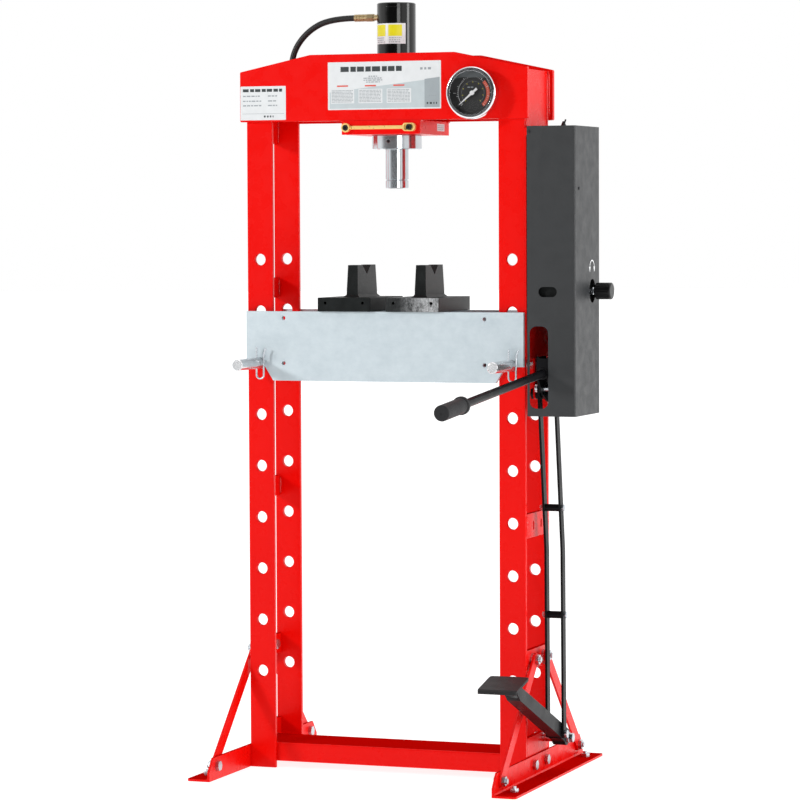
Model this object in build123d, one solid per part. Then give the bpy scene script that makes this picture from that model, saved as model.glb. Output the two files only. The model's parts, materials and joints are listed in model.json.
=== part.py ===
from build123d import *
import math
import os

# Hydraulic shop press, millimetres.  +X to the pump side, +Y to the back, +Z up.
# The origin is on the floor, midway between the uprights.

# Uprights: two drilled flat bars each, tied by plates on the outer side
HOLE_X = 295
HOLE_PITCH = 115
HOLE_COUNT = 9
LOWEST_HOLE_Z = 217.5
PIN_R = 12.5
PIN_HOLE_R = 13
BAR_WIDTH = 60
BAR_THICK = 10
FRAME_DEPTH = 168
UPRIGHT_TOP = 1540
TIE_THICK = 11
TIE_SPANS_LEFT = [(8, 92), (240, 284), (600, 645), (1050, 1095), (1397, 1550)]
TIE_SPANS_RIGHT = [(8, 92), (240, 284), (530, 583), (1050, 1095), (1397, 1550)]
SLOTTED_TIE_Z = 556

# Head
HEAD_HALF = 335.5
HEAD_BEND_X = 168
HEAD_BOTTOM = 1442.5
HEAD_SHOULDER = 1553
HEAD_TOP = 1588.5
HEAD_THICK = 12

# Base
CHANNEL_Z = (13.5, 56)
CHANNEL_Y = (-73.5, 58.5)
CHANNEL_WALL = 4.5
FOOT_LEG = 50
FOOT_FLAT = 54
FOOT_THICK = 5
FOOT_LENGTH = 640
FOOT_BOLT_Y = 42
FOOT_BOLT_Z = 30
FRAME_BOLT_R = 6
BRACE_FOOT = (276, 30)
BRACE_TOP = (40, 262)
BRACE_WIDTH = 28
ANCHOR_X = 355
ANCHOR_Y = 258

# Cylinder and ram
MOUNT_X = (-94.5, 89)
MOUNT_HALF_Y = 97
MOUNT_Z = (1412, 1442.5)
BARREL_R = 43
BARREL_Z = (1389, 1693)
BORE_R = 33
CAP_TOP = 1703
COLLAR_R = 55.5
COLLAR_Z = (1380, 1412)
GRUB_Z = 1398
ROD_R = 25.7
ROD_BOTTOM = 1294
TIP_HEIGHT = 20
PISTON_Z = (1618, 1652)
STRAP_Z = 1427
STRAP_SCREWS_X = (-82, 66)
RUNNING_FIT = 0.08
INLET_Z = 1672.5

# Bed
BED_HALF = 324.5
BED_CORNER_X = 261
BED_HOLES_X = 235.5
BED_HOLES_Z = (1008, 908)
BED_TOP = 1023
BED_BOTTOM = 869
BED_PLATE = 10
BED_GAP = 0.5
PIN_LEVEL = 6
PIN_FRONT_Y = -220
PIN_BACK_Y = 102
CLIP_Y = -108
BLOCK_CENTRES = {"left": -88, "right": 72}
BLOCK_BASE = (125, 209, 30.5)
BLOCK_POST_SHIFT = 3.5
POST_TOP_Z = 1125

# Gauge
GAUGE_X = 218
GAUGE_Z = 1498
GAUGE_R = 56.5
GAUGE_FRONT_Y = -133

# Pump, handle, link bars and pedal share one plane
DRIVE_X = 364.5
LEVER_PIVOT = (-15, 844)
LINK_TOP = (-48, 857)
LINK_BEND = (1, 500)
LINK_FOOT = (8, 94)
PEDAL_PIVOT = (41, 81)
PLUNGER_Y = 23
PLUNGER_PIN_Z = 846
LINK_GAP = 32
LINK_THICK = 5
LINK_WIDTH = 20
SPACER_HEIGHTS = [357, 594]
HANDLE_SLOPE = 4.4
HANDLE_AXIS_Z = 896.8
SHAFT_R = 9
GRIP_R = 16.5
GRIP_START = -616
LEVER_CHEEK = (9.5, 13.5)
COVER_X = (332, 441)
COVER_Y = 90.5
COVER_Z = (798, 1426)
COVER_WALL = 1.5
COVER_BEND = 5
HANDLE_SLOT_X = 358.4
VALVE_SLOT_X = 378.4
COVER_SCREWS = [(-1, 1414), (1, 1414), (1, 940)]
COVER_SCREW_X = 336
SIDE_SCREW = (-62.8, 1291)
BRACKET_BOLT_Y = 55
BRACKET_BOLTS_Z = (1072, 1411)
BRACKET_BOTTOM = 922
VALVE_Y = 36
VALVE_Z = 1067.5
JOINT_X = 440
KNOB_X = (449, 486)
KNOB_R = 18.5
BLOCK_X = (329, 415)
BLOCK_Y = (-78, 62)
BLOCK_Z = (1032, 1110)
TANK_CENTRE = (374, 15)
TANK_R = 40
TANK_TOP = 1335
VENT_ROUTE = [(374, 15, 1347.1), (376, 15, 1392), (381, 15, 1425), (387, 15, 1442)]

# Pressure hose, from the cylinder inlet over the head and down into the pump
HOSE_R = 6.75
HOSE_END_X = -98
HOSE_PORT = (372, -58)
HOSE_FOOT_Z = 1152
HOSE_PASSAGE = (-49, 1270)
HOSE_ROUTE = [
    (HOSE_END_X, 0, INLET_Z),
    (-158, 0, INLET_Z),
    (-214, -1, 1644),
    (-248, -3, 1596),
    (-248, -8, 1532),
    (-214, -18, 1484),
    (-158, -36, 1462),
    (-88, -58, 1466),
    (8, -65, 1474),
    (104, -62, 1476),
    (190, -57, 1475),
    (240, -53, 1468),
    (276, -49, 1438),
    (290, -47, 1388),
    (298, -47, 1334),
    (322, -49, 1284),
    (354, -54, 1240),
    (HOSE_PORT[0], HOSE_PORT[1], HOSE_FOOT_Z + 42),
    (HOSE_PORT[0], HOSE_PORT[1], HOSE_FOOT_Z),
]

BAR_IN = HOLE_X - BAR_WIDTH / 2
BAR_OUT = HOLE_X + BAR_WIDTH / 2
HALF_DEPTH = FRAME_DEPTH / 2
BAR_BACK = HALF_DEPTH - BAR_THICK
LINK_X = [DRIVE_X - LINK_GAP / 2 - LINK_THICK, DRIVE_X + LINK_GAP / 2]
PIN_Z = LOWEST_HOLE_Z + PIN_LEVEL * HOLE_PITCH


def save(name, *shapes):
    solids = [s for shape in shapes for s in shape.solids()]
    whole = solids[0] if len(solids) == 1 else Compound(solids)
    export_step(whole, f"parts/{name}.step")


def block(x, y, z):
    size = [b - a for a, b in (x, y, z)]
    middle = [(a + b) / 2 for a, b in (x, y, z)]
    return Pos(*middle) * Box(*size)


def rounded(shape, axis, radius):
    return fillet(shape.edges().filter_by(axis), radius)


def rod_x(radius, x, y, z):
    return Pos((x[0] + x[1]) / 2, y, z) * Rot(0, 90, 0) * Cylinder(radius, x[1] - x[0])


def rod_y(radius, y, x, z):
    return Pos(x, (y[0] + y[1]) / 2, z) * Rot(90, 0, 0) * Cylinder(radius, y[1] - y[0])


def rod_z(radius, z, x=0, y=0):
    return Pos(x, y, (z[0] + z[1]) / 2) * Cylinder(radius, z[1] - z[0])


def slab_x(sketch, x):
    """A sketch drawn in (Y, Z), extruded between two X planes."""
    return extrude(Plane.YZ.offset(x[0]) * sketch, x[1] - x[0], dir=(1, 0, 0))


def slab_y(sketch, y):
    """A sketch drawn in (X, Z), extruded between two Y planes."""
    return extrude(Plane.XZ.offset(-y[1]) * sketch, y[1] - y[0], dir=(0, -1, 0))


def slab_z(sketch, z):
    return extrude(Plane.XY.offset(z[0]) * sketch, z[1] - z[0], dir=(0, 0, 1))


def outline_of(*points):
    """A closed polygon, always taken counter-clockwise."""
    turns = zip(points, points[1:] + points[:1])
    area = sum(a[0] * b[1] - b[0] * a[1] for a, b in turns)
    return Polygon(*(points if area > 0 else points[::-1]), align=None)


def hexagon(across_flats, turn=0):
    return RegularPolygon(across_flats / 2, 6, major_radius=False, rotation=turn)


def hex_x(across_flats, x, y, z):
    return slab_x(Pos(y, z) * hexagon(across_flats, 8), x)


def strap_outline(points, width):
    """A flat strap of one width along a few points, round at both ends."""
    shape = Sketch()
    for a, b in zip(points, points[1:]):
        length = math.dist(a, b)
        angle = math.degrees(math.atan2(b[1] - a[1], b[0] - a[0]))
        middle = ((a[0] + b[0]) / 2, (a[1] + b[1]) / 2)
        shape += Pos(*middle) * Rot(0, 0, angle) * SlotCenterToCenter(length, width)
    return shape


def bolt_x(radius, head, nut, y, z, side=1):
    """Head outside at X = head, nut inside at X = nut, both measured at the clamped faces."""
    height = radius * 1.3
    flats = radius * 3.3
    grip = sorted((head, nut))
    if head > nut:
        grip = [grip[0] - height * 1.5, grip[1]]
        head_span, nut_span = (head, head + height), (nut - height, nut)
    else:
        grip = [grip[0], grip[1] + height * 1.5]
        head_span, nut_span = (head - height, head), (nut, nut + height)
    bolt = rod_x(radius, grip, y, z) + hex_x(flats, head_span, y, z)
    ring = hex_x(flats, nut_span, y, z) - rod_x(radius + 0.05, nut_span, y, z)
    return [mirror_x(bolt, side), mirror_x(ring, side)]


def mirror_x(shape, side):
    return shape if side > 0 else mirror(shape, Plane.YZ)


# ---------------------------------------------------------------- frame

def upright_bar(side, front):
    y = (-HALF_DEPTH, -BAR_BACK) if front else (BAR_BACK, HALF_DEPTH)
    bar = rounded(block((BAR_IN, BAR_OUT), y, (0, UPRIGHT_TOP)), Axis.Z, 1.5)
    for i in range(HOLE_COUNT):
        bar -= rod_y(PIN_HOLE_R, (y[0] - 1, y[1] + 1), HOLE_X, LOWEST_HOLE_Z + i * HOLE_PITCH)
    return mirror_x(bar, side)


def tie_plates(spans, side):
    plates = []
    x = (BAR_OUT - TIE_THICK, BAR_OUT)
    y = (-BAR_BACK, BAR_BACK)
    for low, high in spans:
        plates.append(block(x, y, (low, high)))
    for sign in (-1, 1):
        plates[0] -= rod_x(FRAME_BOLT_R + 0.3, (x[0] - 1, x[1] + 1), sign * FOOT_BOLT_Y, FOOT_BOLT_Z)
        plates[1] -= rod_x(FRAME_BOLT_R + 0.3, (x[0] - 1, x[1] + 1), sign * BRACE_TOP[0], BRACE_TOP[1])
    if side > 0:
        plates[0] -= rod_x(7.2, (x[0] - 1, x[1] + 1), *PEDAL_PIVOT)
        for sign in (-1, 1):
            slot = Pos(sign * 27, SLOTTED_TIE_Z) * Rot(0, 0, 90) * SlotOverall(20, 8)
            plates[2] -= slab_x(slot, (x[0] - 1, x[1] + 1))
            for i, z in ((3, BRACKET_BOLTS_Z[0]), (4, BRACKET_BOLTS_Z[1])):
                plates[i] -= rod_x(4.3, (x[0] - 1, x[1] + 1), sign * BRACKET_BOLT_Y, z)
    return [mirror_x(p, side) for p in plates]


def head_plate(front):
    outline = outline_of(
        (-HEAD_HALF, HEAD_BOTTOM), (HEAD_HALF, HEAD_BOTTOM), (HEAD_HALF, HEAD_SHOULDER),
        (HEAD_BEND_X, HEAD_TOP), (-HEAD_BEND_X, HEAD_TOP), (-HEAD_HALF, HEAD_SHOULDER),
    )
    y = (-HALF_DEPTH - HEAD_THICK, -HALF_DEPTH) if front else (HALF_DEPTH, HALF_DEPTH + HEAD_THICK)
    plate = slab_y(outline, y)
    plate = fillet(plate.edges().filter_by(Axis.Y), 3)
    if front:
        plate -= rod_y(9.2, (y[0] - 1, y[1] + 1), GAUGE_X, GAUGE_Z)
    return plate


def base_channel():
    x = (-BAR_OUT + TIE_THICK, BAR_OUT - TIE_THICK)
    outer = rounded(block(x, CHANNEL_Y, CHANNEL_Z), Axis.X, 4)
    inside = (CHANNEL_Y[0] + CHANNEL_WALL, CHANNEL_Y[1] - CHANNEL_WALL)
    return outer - block((x[0] - 1, x[1] + 1), inside, (0, CHANNEL_Z[1] - CHANNEL_WALL))


def foot(side):
    half = FOOT_LENGTH / 2
    cut = 30
    outline = outline_of(
        (-half, 0), (half, 0), (half, FOOT_LEG - cut), (half - cut * 0.8, FOOT_LEG),
        (-half + cut * 0.8, FOOT_LEG), (-half, FOOT_LEG - cut),
    )
    x = (BAR_OUT, BAR_OUT + FOOT_THICK)
    angle = slab_x(outline, x)
    flat = block((x[0], x[0] + FOOT_FLAT), (-half, half), (0, FOOT_THICK))
    outer = flat.edges().filter_by(Axis.Z).sort_by(Axis.X)[-2:]
    angle += fillet(outer, 8)
    fold = angle.edges().filter_by(Axis.Y).sort_by_distance((x[1], 0, FOOT_THICK))[0]
    angle = fillet(fold, 4)
    for sign in (-1, 1):
        angle -= rod_x(FRAME_BOLT_R + 0.3, (x[0] - 1, x[1] + 1), sign * FOOT_BOLT_Y, FOOT_BOLT_Z)
        angle -= rod_x(FRAME_BOLT_R + 0.3, (x[0] - 1, x[1] + 1), sign * BRACE_FOOT[0], BRACE_FOOT[1])
        angle -= rod_z(5.2, (-1, FOOT_THICK + 1), ANCHOR_X, sign * ANCHOR_Y)
    return mirror_x(angle, side)


def brace(side, sign):
    ends = [(sign * BRACE_FOOT[0], BRACE_FOOT[1]), (sign * BRACE_TOP[0], BRACE_TOP[1])]
    x = (BAR_OUT + FOOT_THICK, BAR_OUT + 2 * FOOT_THICK)
    bar = slab_x(strap_outline(ends, BRACE_WIDTH), x)
    for y, z in ends:
        bar -= rod_x(FRAME_BOLT_R + 0.3, (x[0] - 1, x[1] + 1), y, z)
    return mirror_x(bar, side)


def frame_bolts():
    solids = []
    outer = BAR_OUT + 2 * FOOT_THICK
    for side in (-1, 1):
        for sign in (-1, 1):
            y, z = sign * BRACE_FOOT[0], BRACE_FOOT[1]
            solids += bolt_x(FRAME_BOLT_R, BAR_OUT, outer, y, z, side)
            y, z = sign * BRACE_TOP[0], BRACE_TOP[1]
            solids += bolt_x(FRAME_BOLT_R, BAR_OUT - TIE_THICK, outer, y, z, side)
            washer = rod_x(13, (BAR_OUT, BAR_OUT + FOOT_THICK), y, z)
            washer -= rod_x(FRAME_BOLT_R + 0.05, (BAR_OUT, BAR_OUT + FOOT_THICK), y, z)
            solids.append(mirror_x(washer, side))
            y, z = sign * FOOT_BOLT_Y, FOOT_BOLT_Z
            solids += bolt_x(FRAME_BOLT_R, BAR_OUT + FOOT_THICK, BAR_OUT - TIE_THICK, y, z, side)
            stud = rod_z(5, (0.5, 18), ANCHOR_X, sign * ANCHOR_Y)
            nut_span = (FOOT_THICK, FOOT_THICK + 8)
            nut = slab_z(Pos(ANCHOR_X, sign * ANCHOR_Y) * hexagon(17), nut_span)
            nut -= rod_z(5.05, nut_span, ANCHOR_X, sign * ANCHOR_Y)
            solids += [mirror_x(stud, side), mirror_x(nut, side)]
    return solids


# ---------------------------------------------------------------- cylinder

def cylinder_mount():
    plate = block(MOUNT_X, (-MOUNT_HALF_Y, MOUNT_HALF_Y), MOUNT_Z)
    plate = rounded(plate, Axis.Z, 3)
    plate -= rod_z(BARREL_R + 0.05, MOUNT_Z)
    for x in STRAP_SCREWS_X:
        plate -= rod_y(4.1, (-MOUNT_HALF_Y - 1, -MOUNT_HALF_Y + 17), x, STRAP_Z)
    return plate


def cylinder_barrel():
    thread_top = MOUNT_Z[0]
    barrel = rod_z(BARREL_R, (thread_top, BARREL_Z[1]))
    barrel += rod_z(40, (BARREL_Z[0], thread_top))
    barrel += rod_z(53, (MOUNT_Z[1], MOUNT_Z[1] + 14))
    barrel -= rod_z(BORE_R, (BARREL_Z[0] + 26, BARREL_Z[1] + 1))
    barrel -= rod_z(ROD_R + RUNNING_FIT, (BARREL_Z[0] - 1, BARREL_Z[0] + 27))
    return barrel - rod_x(5.1, (-BARREL_R - 1, -BORE_R + 3), 0, INLET_Z)


def cylinder_cap():
    cap = rod_z(BARREL_R, (BARREL_Z[1], CAP_TOP))
    cap = chamfer(cap.edges().sort_by(Axis.Z)[-1], 2)
    cap += rod_z(BORE_R, (BARREL_Z[1] - 9, BARREL_Z[1]))
    return cap - slab_z(hexagon(14), (CAP_TOP - 6, CAP_TOP + 1))


def ram_collar():
    ring = rod_z(COLLAR_R, COLLAR_Z)
    ring = chamfer(ring.edges().filter_by(GeomType.CIRCLE), 1.5)
    ring -= rod_z(40.05, (BARREL_Z[0], COLLAR_Z[1] + 1))
    ring -= rod_z(ROD_R + 1.5, (COLLAR_Z[0] - 1, BARREL_Z[0] + 1))
    grub = rod_y(4.1, (-COLLAR_R - 1, -40), 0, GRUB_Z)
    return ring - grub


def mount_screws():
    """Two socket screws through the strap and the grub screw that locks the collar."""
    solids = []
    for x in STRAP_SCREWS_X:
        y = -MOUNT_HALF_Y
        screw = rod_y(4, (y - 4, y + 16), x, STRAP_Z) + rod_y(6, (y - 10, y - 4), x, STRAP_Z)
        screw -= slab_y(Pos(x, STRAP_Z) * hexagon(5), (y - 11, y - 7))
        solids.append(screw)
    grub = rod_y(4, (-COLLAR_R + 0.5, -42), 0, GRUB_Z)
    socket = slab_y(Pos(0, GRUB_Z) * hexagon(4), (-COLLAR_R, -COLLAR_R + 4))
    return solids + [grub - socket]


def mount_strap():
    """Zinc-plated strap with an eye at one end and an oblong loop at the other."""
    y = (-MOUNT_HALF_Y - 4, -MOUNT_HALF_Y)
    left, right = STRAP_SCREWS_X
    outline = Pos((left + right) / 2, STRAP_Z) * Rectangle(right - left, 7.5)
    outline += Pos(left, STRAP_Z) * Circle(10)
    outline += Pos(right, STRAP_Z) * RectangleRounded(29, 18, 7)
    strap = slab_y(outline, y)
    rims = slab_y(Pos(left, STRAP_Z) * (Circle(10) - Circle(6.6)), (y[0] - 5, y[0]))
    loop = RectangleRounded(29, 18, 7) - RectangleRounded(22, 13.4, 5)
    strap += rims + slab_y(Pos(right, STRAP_Z) * loop, (y[0] - 5, y[0]))
    for x in STRAP_SCREWS_X:
        strap -= rod_y(4.1, (y[0] - 1, y[1] + 1), x, STRAP_Z)
    return strap


def ram_rod():
    low = ROD_BOTTOM + TIP_HEIGHT
    rod = rod_z(ROD_R, (low, PISTON_Z[0]))
    rod -= rod_z(15, (low + 24, PISTON_Z[0] + 1))
    return rod - rod_z(10.1, (low - 1, low + 12))


def ram_tip():
    low = ROD_BOTTOM
    nose = rod_z(ROD_R, (low, low + TIP_HEIGHT - 1.6))
    nose = chamfer(nose.edges().filter_by(GeomType.CIRCLE), 1.2)
    nose += rod_z(ROD_R - 2.5, (low + TIP_HEIGHT - 1.6, low + TIP_HEIGHT))
    return nose + rod_z(10, (low + TIP_HEIGHT, low + TIP_HEIGHT + 11))


def ram_piston():
    piston = rod_z(BORE_R - RUNNING_FIT, PISTON_Z)
    for z in (PISTON_Z[0] + 9, PISTON_Z[0] + 22):
        groove = rod_z(BORE_R + 1, (z, z + 4)) - rod_z(BORE_R - 3, (z, z + 4))
        piston -= groove
    return piston - rod_z(15, (PISTON_Z[0] - 1, PISTON_Z[1] + 1))


def return_spring():
    """Tension spring on the cylinder axis, hooked between the cap and the foot of the rod bore."""
    low = ROD_BOTTOM + TIP_HEIGHT + 25
    high = BARREL_Z[1] - 9
    coil = Pos(0, 0, low + 3) * Helix(pitch=15, height=high - low - 6, radius=10)
    return sweep(Plane(coil @ 0, z_dir=coil % 0) * Circle(2), path=coil, is_frenet=True)


# ---------------------------------------------------------------- hose

def hose_radii():
    """Each bend takes 0.45 of its shorter run."""
    radii = []
    for a, b, c in zip(HOSE_ROUTE, HOSE_ROUTE[1:], HOSE_ROUTE[2:]):
        first, second = Vector(*b) - Vector(*a), Vector(*c) - Vector(*b)
        half = math.radians(first.get_angle(second)) / 2
        radii.append(0.45 * min(first.length, second.length) / math.tan(half))
    return radii


def pressure_hose():
    path = FilletPolyline(*HOSE_ROUTE, radius=hose_radii())
    start = Plane(path @ 0, z_dir=path % 0)
    hose = sweep(start * Circle(HOSE_R), path=path)
    print("hose radii", [round(r) for r in hose_radii()], "length", round(path.length))
    print("hose volume over section x length", hose.volume / (math.pi * HOSE_R**2 * path.length))
    return hose


def hose_fittings():
    """Adapter, nut and crimped ferrule at the cylinder, and the same three on the pump block."""
    end = HOSE_END_X
    adapter = rod_x(6.5, (-53, -BARREL_R), 0, INLET_Z) + rod_x(5, (-BARREL_R, -BORE_R + 1), 0, INLET_Z)
    nut = hex_x(16, (-68, -53), 0, INLET_Z)
    ferrule = rod_x(8, (end, -68), 0, INLET_Z)
    for x in (-92, -84, -76):
        ferrule -= rod_x(9, (x, x + 2), 0, INLET_Z) - rod_x(7.3, (x, x + 2), 0, INLET_Z)
    x, y = HOSE_PORT
    top = BLOCK_Z[1]
    lower = rod_z(8, (top + 22, HOSE_FOOT_Z), x, y)
    lower_nut = slab_z(Pos(x, y) * hexagon(16), (top + 8, top + 22))
    lower_adapter = rod_z(6.5, (top, top + 8), x, y) + rod_z(5, (top - 9, top), x, y)
    return [adapter, nut, ferrule, lower, lower_nut, lower_adapter]


# ---------------------------------------------------------------- gauge

def gauge_case():
    y = (GAUGE_FRONT_Y + 6, -HALF_DEPTH - HEAD_THICK)
    case = rod_y(GAUGE_R - 3, y, GAUGE_X, GAUGE_Z)
    case = fillet(case.edges().sort_by(Axis.Y)[-1], 4)
    case -= rod_y(GAUGE_R - 6, (y[0] - 1, y[1] - 5), GAUGE_X, GAUGE_Z)
    return case - rod_y(6.05, (y[1] - 6, y[1] + 1), GAUGE_X, GAUGE_Z)


def gauge_bezel():
    y = (GAUGE_FRONT_Y, GAUGE_FRONT_Y + 15)
    ring = rod_y(GAUGE_R, y, GAUGE_X, GAUGE_Z)
    ring = fillet(ring.edges().filter_by(GeomType.CIRCLE).sort_by(Axis.Y)[0], 4)
    ring -= rod_y(GAUGE_R - 9, (y[0] - 1, y[0] + 3), GAUGE_X, GAUGE_Z)
    return ring - rod_y(GAUGE_R - 2.95, (y[0] + 6, y[1] + 1), GAUGE_X, GAUGE_Z) - rod_y(
        GAUGE_R - 7, (y[0] + 2.9, y[0] + 6.1), GAUGE_X, GAUGE_Z
    )


def gauge_glass():
    return rod_y(GAUGE_R - 7.05, (GAUGE_FRONT_Y + 3, GAUGE_FRONT_Y + 5.5), GAUGE_X, GAUGE_Z)


def gauge_dial():
    y = GAUGE_FRONT_Y + 17
    dial = rod_y(GAUGE_R - 6.1, (y, y + 1.5), GAUGE_X, GAUGE_Z)
    return dial - rod_y(3.1, (y - 1, y + 2), GAUGE_X, GAUGE_Z)


def gauge_needle():
    """Pointer on its spindle; it points to the zero at the lower left."""
    y = (GAUGE_FRONT_Y + 11, GAUGE_FRONT_Y + 12.5)
    outline = outline_of((-2.6, -14), (2.6, -14), (2.2, 4), (0.5, 39), (-0.5, 39), (-2.2, 4))
    needle = slab_y(Pos(GAUGE_X, GAUGE_Z) * Rot(0, 0, 130) * outline, y)
    needle += rod_y(5, (y[0] - 1.5, y[1]), GAUGE_X, GAUGE_Z)
    return needle + rod_y(3, (y[1], y[1] + 9), GAUGE_X, GAUGE_Z)


def gauge_stem():
    back = -HALF_DEPTH - HEAD_THICK
    stem = rod_y(6, (back - 5, back + 1), GAUGE_X, GAUGE_Z) + rod_y(9, (back, -70), GAUGE_X, GAUGE_Z)
    nut = slab_y(Pos(GAUGE_X, GAUGE_Z) * hexagon(27), (-HALF_DEPTH, -HALF_DEPTH + 8))
    return [stem, nut - rod_y(9.05, (-HALF_DEPTH - 1, -70), GAUGE_X, GAUGE_Z)]


# ---------------------------------------------------------------- pump

def pump_bracket():
    """Plate behind the pump, with a tongue that carries the lever's pivot."""
    x = (BAR_OUT, BAR_OUT + 4)
    plate = rounded(block(x, (-85, 85), (BRACKET_BOTTOM, 1424)), Axis.X, 6)
    plate += slab_x(strap_outline([LEVER_PIVOT, (LEVER_PIVOT[0], BRACKET_BOTTOM + 20)], 26), x)
    plate -= rod_x(8.02, (x[0] - 1, x[1] + 1), *LEVER_PIVOT)
    slot = Pos(*HOSE_PASSAGE) * Rot(0, 0, 90) * SlotOverall(84, 30)
    plate -= slab_x(slot, (x[0] - 1, x[1] + 1))
    for sign in (-1, 1):
        for z in BRACKET_BOLTS_Z:
            plate -= rod_x(4.3, (x[0] - 1, x[1] + 1), sign * BRACKET_BOLT_Y, z)
    for sign, z in COVER_SCREWS:
        ear = block((x[0], x[1] + 12), sorted((sign * 84.5, sign * (COVER_Y - COVER_WALL - 0.1))), (z - 8, z + 8))
        plate += ear - rod_y(2.1, (-120, 120), COVER_SCREW_X, z)
    return plate


def bracket_bolts():
    solids = []
    for sign in (-1, 1):
        for z in BRACKET_BOLTS_Z:
            solids += bolt_x(4, BAR_OUT + 4, BAR_OUT - TIE_THICK, sign * BRACKET_BOLT_Y, z)
    return solids


def pump_block():
    body = rounded(block((BLOCK_X[0] + 9, BLOCK_X[1]), BLOCK_Y, BLOCK_Z), Axis.X, 6)
    body += block((BLOCK_X[0], BLOCK_X[0] + 9), (-44, 44), BLOCK_Z)
    body -= rod_z(8 + RUNNING_FIT, (BLOCK_Z[0] - 1, BLOCK_Z[0] + 56), DRIVE_X, PLUNGER_Y)
    body -= rod_x(6 + RUNNING_FIT, (390, BLOCK_X[1] + 1), VALVE_Y, VALVE_Z)
    return body - rod_z(5.1, (BLOCK_Z[1] - 10, BLOCK_Z[1] + 1), *HOSE_PORT)


def pump_tank():
    x, y = TANK_CENTRE
    tank = rod_z(TANK_R, (BLOCK_Z[1], TANK_TOP), x, y)
    tank = fillet(tank.edges().sort_by(Axis.Z)[-1], 10)
    tank -= rod_z(TANK_R - 3, (BLOCK_Z[1] - 1, TANK_TOP - 4), x, y)
    plug = slab_z(Pos(x, y) * hexagon(19), (TANK_TOP, TANK_TOP + 8))
    return [tank, plug + rod_z(6, (TANK_TOP + 8, TANK_TOP + 12), x, y)]


def vent_tube():
    """Thin breather tube from the filler plug up through the top of the cover."""
    path = FilletPolyline(*VENT_ROUTE, radius=[60, 25])
    tube = sweep(Plane(path @ 0, z_dir=path % 0) * Circle(1.8), path=path)
    x, y, z = VENT_ROUTE[-2]
    return tube + Pos(x + 1, y, z + 7.2) * Cone(7, 2, 12)


def pump_plunger():
    """Plunger with a flat eye at its foot and the cross pin that the lever carries."""
    rod = rod_z(8, (PLUNGER_PIN_Z, BLOCK_Z[0] + 38), DRIVE_X, PLUNGER_Y)
    eye = rod_x(11, (DRIVE_X - 7, DRIVE_X + 7), PLUNGER_Y, PLUNGER_PIN_Z)
    pin_span = (DRIVE_X - 14, DRIVE_X + 14)
    pin = rod_x(5, pin_span, PLUNGER_Y, PLUNGER_PIN_Z)
    return [rod + eye - rod_x(5.05, pin_span, PLUNGER_Y, PLUNGER_PIN_Z), pin]


def valve_spindle():
    """Needle spindle and the universal joint that carries the knob."""
    spindle = rod_x(6, (393, JOINT_X - 8), VALVE_Y, VALVE_Z)
    spindle += rod_x(8.5, (JOINT_X - 16, JOINT_X - 8), VALVE_Y, VALVE_Z)
    cross = Pos(JOINT_X, VALVE_Y, VALVE_Z) * (
        Cylinder(2.4, 16) + Rot(90, 0, 0) * Cylinder(2.4, 16) + Sphere(3.6)
    )
    stub = rod_x(6, (JOINT_X + 8, KNOB_X[0] + 2), VALVE_Y, VALVE_Z)
    return [spindle + yoke(JOINT_X - 8, 1), cross, yoke(JOINT_X + 8, -1) + stub]


def yoke(x, direction):
    """Two cheeks reaching 11 mm along X; the second yoke is turned a quarter."""
    solids = Part()
    span = sorted((x, x + direction * 11))
    for sign in (-1, 1):
        cheek = block(span, (-4, 4), sorted((sign * 4.5, sign * 8)))
        solids += cheek - rod_z(2.5, (-9, 9), JOINT_X)
    if direction < 0:
        solids = Rot(90, 0, 0) * solids
    solids = Pos(0, VALVE_Y, VALVE_Z) * solids
    return solids + rod_x(8.5, sorted((x, x + direction * 1.5)), VALVE_Y, VALVE_Z)


def release_knob():
    knob = rod_x(KNOB_R, KNOB_X, VALVE_Y, VALVE_Z)
    ends = knob.edges().filter_by(GeomType.CIRCLE).sort_by(Axis.X)
    knob = fillet(ends[-1], 3)
    knob = chamfer(knob.edges().filter_by(GeomType.CIRCLE).sort_by(Axis.X)[0], 3)
    for i in range(12):
        angle = math.radians(i * 30)
        y = VALVE_Y + (KNOB_R + 1.2) * math.cos(angle)
        z = VALVE_Z + (KNOB_R + 1.2) * math.sin(angle)
        knob -= rod_x(2.6, (KNOB_X[0] - 1, KNOB_X[1] - 5), y, z)
    return knob - rod_x(6.05, (KNOB_X[0] - 1, KNOB_X[0] + 2.1), VALVE_Y, VALVE_Z)


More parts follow.
